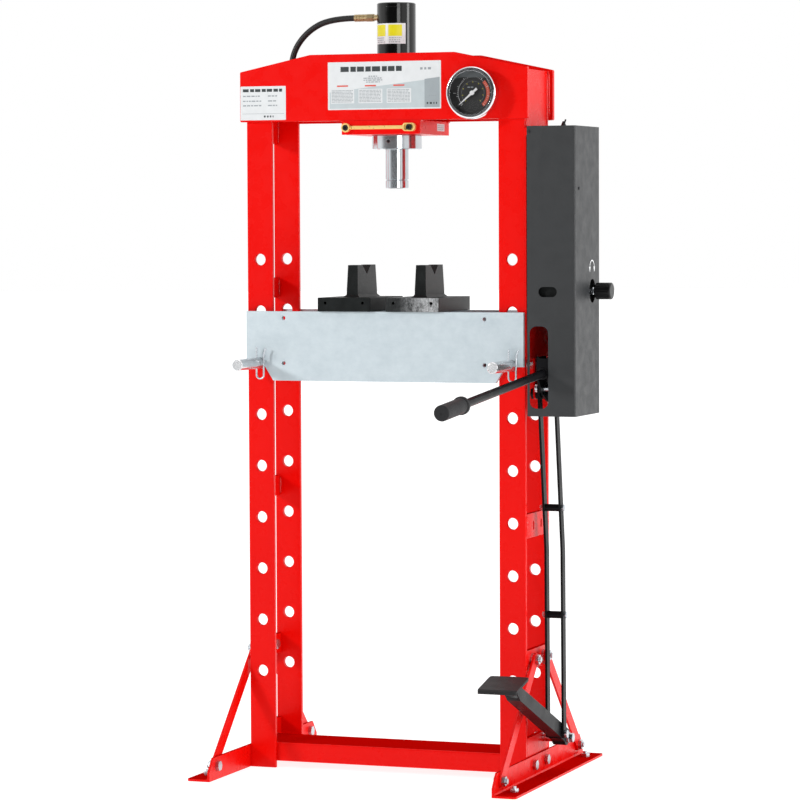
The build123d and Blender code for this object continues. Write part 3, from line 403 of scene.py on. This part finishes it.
CHROME = metal("chrome", (0.66, 0.70, 0.73), (0.56, 0.60, 0.63), 0.11, (1, 1, 14), 260, 0.03, 0.9)
CHROME_PIN = metal(
    "chrome_pin", (0.80, 0.81, 0.82), (0.58, 0.59, 0.61), 0.18, (1, 0.06, 1), 300, 0.30, 0.85,
)
RIM = metal("polished_rim", (0.82, 0.83, 0.85), (0.75, 0.76, 0.78), 0.12, (1, 1, 1), 200, 0.02)
ZINC = metal("zinc_steel", (0.62, 0.66, 0.70), (0.50, 0.53, 0.56), 0.26, (1, 1, 1), 350, 0.08)
ZINC_SHEET = zinc_sheet()
DARK_STEEL = metal(
    "dark_steel", (0.060, 0.062, 0.066), (0.035, 0.036, 0.038), 0.45, (1, 1, 1), 300, 0.10,
)
STEEL = metal("plain_steel", (0.42, 0.42, 0.43), (0.30, 0.30, 0.31), 0.30, (1, 1, 8), 300, 0.10)
TREAD = rubber("pedal_rubber", (0.006, 0.006, 0.0065), 230, 1.0, (1, 1, 1), 0.55)
BRASS = metal("brass", (0.52, 0.41, 0.24), (0.40, 0.30, 0.16), 0.34, (1, 8, 8), 260, 0.06)
YELLOW_ZINC = metal(
    "yellow_zinc", (0.95, 0.70, 0.26), (0.90, 0.56, 0.18), 0.30, (1, 1, 1), 200, 0.05, 0.6,
)
IRON = cast_iron()
IRON_WORN = cast_iron("cast_iron_worn", True)
HOSE = rubber("hose_rubber", (0.010, 0.010, 0.010), 900, 0.25, (1, 1, 1), 0.42)
GRIP = rubber("grip_rubber", (0.008, 0.008, 0.009), 520, 0.35, (1, 3, 1), 0.62)
KNOB = rubber("knob_plastic", (0.003, 0.003, 0.0035), 800, 0.15, (1, 1, 1), 0.30)
DIAL = plain("dial_black", (0.012, 0.012, 0.013), 0.55)
NEEDLE = plain("needle_white", (0.85, 0.85, 0.86), 0.4)
GLASS = clear_glass()
LABEL = plain("label_white", (0.72, 0.74, 0.75), 0.32, 300, 0.04)
LABEL_COOL = plain("label_cool", (0.50, 0.56, 0.58), 0.34, 300, 0.04)
LABEL_GREY = plain("label_grey", (0.33, 0.37, 0.39), 0.34, 300, 0.04)
INK = plain("ink_dark", (0.020, 0.030, 0.032), 0.4)
INK_SOFT = plain("ink_soft", (0.30, 0.33, 0.35), 0.4)
INK_RED = plain("ink_red", (0.70, 0.07, 0.04), 0.4)
YELLOW = plain("label_yellow", (0.75, 0.68, 0.0), 0.35)
WHITE_INK = plain("ink_white", (0.86, 0.87, 0.88), 0.45)
DIAL_RED = plain("dial_red", (0.62, 0.08, 0.035), 0.5)
LIQUID = plain("gauge_liquid", (0.12, 0.13, 0.135), 0.15)

SLOTS = {
    "red_paint": RED, "black_gloss": BLACK_GLOSS, "black_paint": BLACK, "dark_powder": POWDER,
    "chrome": CHROME, "zinc_steel": ZINC, "plain_steel": STEEL, "black_iron": IRON, "brass": BRASS,
    "yellow_zinc": YELLOW_ZINC, "hose_rubber": HOSE, "grip_rubber": GRIP, "knob_plastic": KNOB,
    "dial_face": DIAL, "needle_white": NEEDLE, "clear_glass": GLASS,
}
# The bed spacers take dark steel so that the holes in the bed plates show dark: painted shade.
SPECIAL = {
    "bed_front_plate": ZINC_SHEET, "bed_rear_plate": ZINC_SHEET, "bed_spacers": DARK_STEEL,
    "bed_pin_left": CHROME_PIN, "bed_pin_right": CHROME_PIN, "gauge_bezel": RIM, "gauge_case": RIM,
    "v_block_right": IRON_WORN, "mount_screws": MATT_BLACK, "pedal_pad": TREAD, "pump_fasteners": DARK_STEEL,
}


def dress_nodes():
    slots = {s["node"]: s["material_slot"] for s in frame["record"]["subparts"]}
    for name, node in nodes.items():
        material = SPECIAL.get(name, SLOTS[slots[name]])
        if not node.material_slots:
            node.data.materials.append(material)
        for held in node.material_slots:
            held.material = material


# ---------------------------------------------------------------- pieces

def new_piece(name, points, faces, materials, body, indexes=None, smooth=False):
    mesh = bpy.data.meshes.new(name)
    mesh.from_pydata([tuple(p) for p in points], [], faces)
    for material in materials:
        mesh.materials.append(material)
    if indexes:
        mesh.polygons.foreach_set("material_index", indexes)
    if smooth:
        mesh.shade_smooth()
    mesh.validate()
    piece = bpy.data.objects.new(name, mesh)
    bpy.context.scene.collection.objects.link(piece)
    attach(piece, body)
    return piece


class Print:
    """Thin printed shapes in layers on one flat or bent surface."""

    def __init__(self, surface, step=0.00012):
        self.surface, self.step = surface, step
        self.points, self.faces, self.indexes, self.materials = [], [], [], []

    def shape(self, outline, material, layer):
        start = len(self.points)
        for u, v in outline:
            self.points.append(self.surface(u, v, (layer + 1) * self.step))
        self.faces.append(tuple(range(start, start + len(outline))))
        if material not in self.materials:
            self.materials.append(material)
        self.indexes.append(self.materials.index(material))

    def bar(self, u0, v0, u1, v1, material, layer):
        self.shape([(u0, v0), (u1, v0), (u1, v1), (u0, v1)], material, layer)

    def words(self, u0, u1, v, height, material, layer, rng, longest=0.012):
        """One line of stand-in text: short bars with gaps."""
        u = u0
        while u < u1 - longest * 0.3:
            width = min(rng.uniform(0.3, 1.0) * longest, u1 - u)
            self.bar(u, v, u + width, v + height, material, layer)
            u += width + height * 0.8

    def piece(self, name, body):
        return new_piece(name, self.points, self.faces, self.materials, body, self.indexes)


def rounded_box(u0, v0, u1, v1, r, steps=5):
    points = []
    corners = (
        (u1 - r, v1 - r, 0), (u0 + r, v1 - r, 90), (u0 + r, v0 + r, 180), (u1 - r, v0 + r, 270),
    )
    for cu, cv, start in corners:
        for i in range(steps + 1):
            a = math.radians(start + 90 * i / steps)
            points.append((cu + r * math.cos(a), cv + r * math.sin(a)))
    return points


def head_labels():
    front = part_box("head_front_plate")[0].y
    rng = random.Random(4)

    def surface(u, v, lift):
        return (u, front - lift, v)

    big = Print(lambda u, v, lift: surface(u + 0.002, v, lift))
    u0, u1, v0, v1 = -0.128, 0.136, 1.4665, 1.571
    big.shape(rounded_box(u0, v0, u1, v1, 0.002), LABEL, 0)
    left, right, foot, split = u0 + 0.004, u1 - 0.003, v0 + 0.003, 0.098
    big.shape([(left, foot), (right, foot), (right, v1 - 0.038), (left, v1 - 0.066)], LABEL_COOL, 1)
    big.shape([(split, foot), (right, foot), (right, v1 - 0.036), (split, v1 - 0.040)], LABEL_GREY, 2)
    u = u0 + 0.030
    for width in (0.0234, 0.0152, 0.0199, 0.0152, 0.0234, 0.0140, 0.0187, 0.0164):
        big.bar(u, v1 - 0.0215, u + width * 0.82, v1 - 0.0105, INK, 3)
        u += width
    big.words(0.088, 0.120, v1 - 0.0195, 0.005, INK_SOFT, 3, rng, 0.012)
    for i, half in enumerate((0.010, 0.022, 0.022, 0.016)):
        v = v1 - 0.033 - i * 0.0042
        big.words(-0.022 - half, -0.022 + half, v, 0.0021, INK_SOFT, 3, rng, 0.009)
    for left, right in ((-0.121, -0.066), (-0.056, 0.000), (0.010, 0.067)):
        middle = (left + right) / 2
        big.bar(left, v0 + 0.014, right, v0 + 0.045, LABEL, 2)
        big.bar(middle - 0.013, v0 + 0.0505, middle + 0.013, v0 + 0.0535, INK_RED, 3)
        for i in range(9):
            v = v0 + 0.0165 + i * 0.0031
            big.words(left + 0.002, right - 0.003, v, 0.0014, INK_SOFT, 3, rng, 0.009)
    big.words(0.103, 0.127, v0 + 0.010, 0.0042, INK, 3, rng, 0.006)
    big.words(0.108, 0.124, v0 + 0.027, 0.0020, INK_SOFT, 3, rng, 0.006)
    big.piece("label_front", "frame")

    small = Print(surface)
    u0, u1, v0, v1 = -0.3347, -0.2262, 1.4465, 1.5215
    small.shape(rounded_box(u0, v0, u1, v1, 0.002), LABEL, 0)
    u = u0 + 0.006
    for width in (0.0173, 0.0120, 0.0160, 0.0120, 0.0160, 0.0133, 0.0090):
        small.bar(u, v1 - 0.0125, u + width * 0.8, v1 - 0.0060, INK, 1)
        u += width
    for i, v in enumerate((v1 - 0.023, v1 - 0.034, v1 - 0.044)):
        small.words(u0 + 0.006, u0 + 0.050, v, 0.0026, INK_SOFT, 1, rng, 0.010)
        small.words(u0 + 0.066, u0 + 0.088, v, 0.0026, INK_SOFT, 1, rng, 0.010)
    small.words(u0 + 0.056, u0 + 0.080, v0 + 0.006, 0.0042, INK, 1, rng, 0.005)
    small.bar(u0 + 0.004, v0 + 0.014, u1 - 0.004, v0 + 0.0146, INK_SOFT, 1)
    small.piece("label_small", "frame")


def cylinder_label():
    """White wrap-round sticker with two plain yellow tiles and grey lines."""
    radius = 0.043
    rng = random.Random(9)

    def surface(u, v, lift):
        a = u / radius
        r = radius + lift
        return (r * math.sin(a), -r * math.cos(a), v)

    label = Print(surface, 0.00015)
    left, right, low, high = -0.062, 0.036, 1.612, 1.657
    columns = 26
    for i in range(columns):
        a = left + (right - left) * i / columns
        b = left + (right - left) * (i + 1) / columns
        label.bar(a, low, b, high, LABEL, 0)
    for centre in (-0.026, 0.012):
        for i in range(8):
            a = centre - 0.0155 + 0.031 * i / 8
            b = a + 0.031 / 8
            label.bar(a, low + 0.017, b, high - 0.003, YELLOW, 1)
        for i in range(3):
            v = low + 0.003 + i * 0.0045
            label.words(centre - 0.014, centre + 0.014, v, 0.002, INK_SOFT, 1, rng, 0.006)
    label.piece("label_cylinder", "frame")


def mount_label():
    """Small plain sticker on the side of the cylinder's mounting plate."""
    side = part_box("cylinder_mount")[1].x
    rng = random.Random(12)
    label = Print(lambda u, v, lift: (side + lift, u, v))
    label.shape(rounded_box(0.016, 1.4205, 0.064, 1.4365, 0.001), LABEL, 0)
    for i in range(3):
        label.words(0.019, 0.061, 1.4232 + i * 0.0042, 0.0016, INK_SOFT, 1, rng, 0.008)
    label.piece("label_mount", "frame")


def cover_symbol():
    """White arc with an arrowhead at each end, printed above the release knob."""
    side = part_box("pump_cover")[1].x

    def surface(u, v, lift):
        return (side + lift, u, v)

    mark = Print(surface)
    cu, cv, r, w = 0.033, 1.118, 0.0165, 0.0026
    steps = 18
    for i in range(steps):
        a = math.radians(12 + 156 * i / steps)
        b = math.radians(12 + 156 * (i + 1) / steps)
        mark.shape([
            (cu + (r - w / 2) * math.cos(a), cv + (r - w / 2) * math.sin(a)),
            (cu + (r + w / 2) * math.cos(a), cv + (r + w / 2) * math.sin(a)),
            (cu + (r + w / 2) * math.cos(b), cv + (r + w / 2) * math.sin(b)),
            (cu + (r - w / 2) * math.cos(b), cv + (r - w / 2) * math.sin(b)),
        ], WHITE_INK, 0)
    for side_sign in (-1, 1):
        u = cu + side_sign * r * 0.985
        mark.shape([(u - 0.0055, cv + 0.003), (u, cv - 0.0095), (u + 0.0055, cv + 0.003)], WHITE_INK, 0)
    mark.piece("cover_symbol", "frame")


def gauge_print():
    low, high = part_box("gauge_dial")
    cx, cz = (low.x + high.x) / 2, (low.z + high.z) / 2
    face = low.y

    def surface(u, v, lift):
        return (cx + u, face - lift, cz + v)

    def ring(printed, start, end, inner, outer, material, layer, steps):
        for i in range(steps):
            a = math.radians(start + (end - start) * i / steps)
            b = math.radians(start + (end - start) * (i + 1) / steps)
            printed.shape([
                (inner * math.cos(a), inner * math.sin(a)),
                (outer * math.cos(a), outer * math.sin(a)),
                (outer * math.cos(b), outer * math.sin(b)),
                (inner * math.cos(b), inner * math.sin(b)),
            ], material, layer)

    def tick(printed, degrees, inner, outer, width, material, layer=1):
        a = math.radians(degrees)
        ca, sa = math.cos(a), math.sin(a)
        half = width / 2
        printed.shape([
            (inner * ca - half * sa, inner * sa + half * ca),
            (inner * ca + half * sa, inner * sa - half * ca),
            (outer * ca + half * sa, outer * sa - half * ca),
            (outer * ca - half * sa, outer * sa + half * ca),
        ], material, layer)

    dial = Print(surface)
    ring(dial, 45, -50, 0.031, 0.0385, DIAL_RED, 0, 20)
    ring(dial, 225, 130, 0.0335, 0.0340, WHITE_INK, 0, 26)
    ring(dial, 225, -48, 0.0255, 0.0258, INK_SOFT, 0, 60)
    for i in range(41):
        major = i % 5 == 0
        degrees = 225 - 270 * i / 40
        reach, width = (0.0385, 0.0008) if major else (0.0362, 0.0004)
        tick(dial, degrees, 0.0335, reach, width, WHITE_INK)
        if major:
            tick(dial, degrees, 0.0225, 0.0250, 0.0009, YELLOW)
    for degrees in (0, 180):
        tick(dial, degrees, 0.0385, 0.0450, 0.0006, WHITE_INK)
    rng = random.Random(2)
    dial.words(-0.012, 0.004, 0.0115, 0.0020, INK_SOFT, 1, rng, 0.006)
    dial.piece("dial_marks", "frame")

    band = Print(surface, 0.004)
    top = []
    for i in range(25):
        a = math.radians(40 + 100 * i / 24)
        top.append((0.0495 * math.cos(a), 0.0495 * math.sin(a)))
    level = [
        (-0.036, 0.0325), (-0.022, 0.0340), (-0.006, 0.0328), (0.010, 0.0335), (0.026, 0.0322),
        (0.036, 0.0335),
    ]
    band.shape(top + level, LIQUID, 0)
    band.piece("gauge_air_band", "frame")


def gauge_lens():
    """Domed clear window in place of the flat disc."""
    low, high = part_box("gauge_glass")
    cx, cz = (low.x + high.x) / 2, (low.z + high.z) / 2
    radius = (high.x - low.x) / 2
    points, faces = [(cx, low.y - 0.0022, cz)], []
    rings, sides = 8, 48
    for j in range(1, rings + 1):
        r = radius * j / rings
        y = low.y - 0.0022 * (1 - (j / rings) ** 2)
        for i in range(sides):
            a = 2 * math.pi * i / sides
            points.append((cx + r * math.cos(a), y, cz + r * math.sin(a)))
    for i in range(sides):
        faces.append((0, 1 + i, 1 + (i + 1) % sides))
    for j in range(rings - 1):
        for i in range(sides):
            a, b = 1 + j * sides + i, 1 + j * sides + (i + 1) % sides
            faces.append((a, a + sides, b + sides, b))
    lens = new_piece("gauge_lens", points, faces, [GLASS], "frame", smooth=True)
    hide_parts("gauge_glass")


def weld(name, start, end, radius, body, sides=8, pitch=0.0042):
    """A bead with the stacked-coin ripple of hand welding, painted over."""
    start, end = Vector(start), Vector(end)
    axis = end - start
    count = max(8, int(axis.length / pitch * 4))
    side = axis.orthogonal().normalized()
    up = axis.cross(side).normalized()
    rng = random.Random(name)
    drift, points, faces = 0.0, [], []
    for j in range(count + 1):
        t = j / count
        phase = (t * axis.length / pitch) % 1
        drift = 0.8 * drift + rng.uniform(-0.05, 0.05)
        ends = min(1.0, 6 * t + 0.3, 6 * (1 - t) + 0.3)
        ripple = 0.20 * math.sqrt(max(0.0, 1 - (2 * phase - 1) ** 2))
        r = radius * ends * (0.86 + ripple + drift)
        centre = start + axis * t
        for i in range(sides):
            a = 2 * math.pi * i / sides
            points.append(centre + side * (r * math.cos(a)) + up * (r * math.sin(a)))
    for j in range(count):
        for i in range(sides):
            a, b = j * sides + i, j * sides + (i + 1) % sides
            faces.append((a, b, b + sides, a + sides))
    faces.append(tuple(range(sides))[::-1])
    faces.append(tuple(range(count * sides, (count + 1) * sides)))
    bead = new_piece(name, points, faces, [WELD], body, smooth=True)
    return bead


def welds():
    bar_low, bar_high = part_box("upright_front_right")
    head_low, head_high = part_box("head_front_plate")
    outer = bar_high.x
    depth = -bar_high.y
    ties = {
        -1: [(0.600, 0.645), (1.050, 1.095), (1.397, 1.548)],
        1: [(0.530, 0.583), (1.397, 1.548)],
    }
    for side, spans in ties.items():
        for k, (low, high) in enumerate(spans):
            for sign in (-1, 1):
                where = f"{'right' if side > 0 else 'left'}_{k}_{'rear' if sign > 0 else 'front'}"
                x, y = side * (outer - 0.0004), sign * depth
                weld(f"weld_tie_{where}", (x, y, low + 0.003), (x, y, high - 0.003), 0.0030, "frame")
                x, y = side * (outer - 0.0112), sign * (depth - 0.0008)
                weld(f"weld_tie_in_{where}", (x, y, low + 0.003), (x, y, high - 0.003), 0.0034, "frame")
    for side in (-1, 1):
        for sign in (-1, 1):
            where = f"{'right' if side > 0 else 'left'}_{'rear' if sign > 0 else 'front'}"
            x = side * (outer + 0.0005)
            y = sign * (-bar_low.y - 0.0005)
            start, end = (x, y, head_low.z + 0.004), (x, y, head_high.z - 0.038)
            weld(f"weld_head_{where}", start, end, 0.0042, "frame")
    mount_low, mount_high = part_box("cylinder_mount")
    for side in (-1, 1):
        for sign in (-1, 1):
            where = f"{'right' if side > 0 else 'left'}_{'rear' if sign > 0 else 'front'}"
            x = mount_high.x + 0.0002 if side > 0 else mount_low.x - 0.0002
            z = mount_high.z - 0.0004
            start, end = (x, sign * 0.0850, z), (x, sign * 0.0955, z)
            weld(f"weld_mount_{where}", start, end, 0.0030, "frame")
    base_low, base_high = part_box("base_channel")
    for side in (-1, 1):
        x = side * (base_high.x - 0.0004)
        where = "right" if side > 0 else "left"
        start, end = (x, base_low.y + 0.004, base_high.z), (x, base_high.y - 0.004, base_high.z)
        weld(f"weld_base_{where}", start, end, 0.0034, "frame")


def hose():
    """The pressure hose on one smooth line from the cylinder to the pump."""
    route = [
        (-98, 0, 1672.5), (-158, 0, 1672.5), (-214, -1, 1644), (-248, -3, 1596), (-248, -8, 1532),
        (-214, -18, 1484), (-158, -36, 1462), (-88, -58, 1466), (8, -65, 1474), (104, -62, 1476),
        (190, -57, 1475), (240, -53, 1468), (276, -49, 1438), (290, -47, 1388), (298, -47, 1334),
        (322, -49, 1284), (354, -54, 1240), (372, -58, 1194), (372, -58, 1152),
    ]
    data = bpy.data.curves.new("hose_line", "CURVE")
    data.dimensions = "3D"
    spline = data.splines.new("NURBS")
    spline.points.add(len(route) - 1)
    for point, (x, y, z) in zip(spline.points, route):
        point.co = (x * MM, y * MM, z * MM, 1)
    spline.order_u = 3
    spline.use_endpoint_u = True
    spline.resolution_u = 12
    data.bevel_depth = 0.00675
    data.bevel_resolution = 5
    data.use_fill_caps = True
    data.materials.append(HOSE)
    piece = bpy.data.objects.new("hose_line", data)
    bpy.context.scene.collection.objects.link(piece)
    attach(piece, "frame")
    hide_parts("pressure_hose")


make_camera()
hose()
make_studio()
dress_nodes()
head_labels()
cylinder_label()
mount_label()
cover_symbol()
gauge_print()
gauge_lens()
welds()
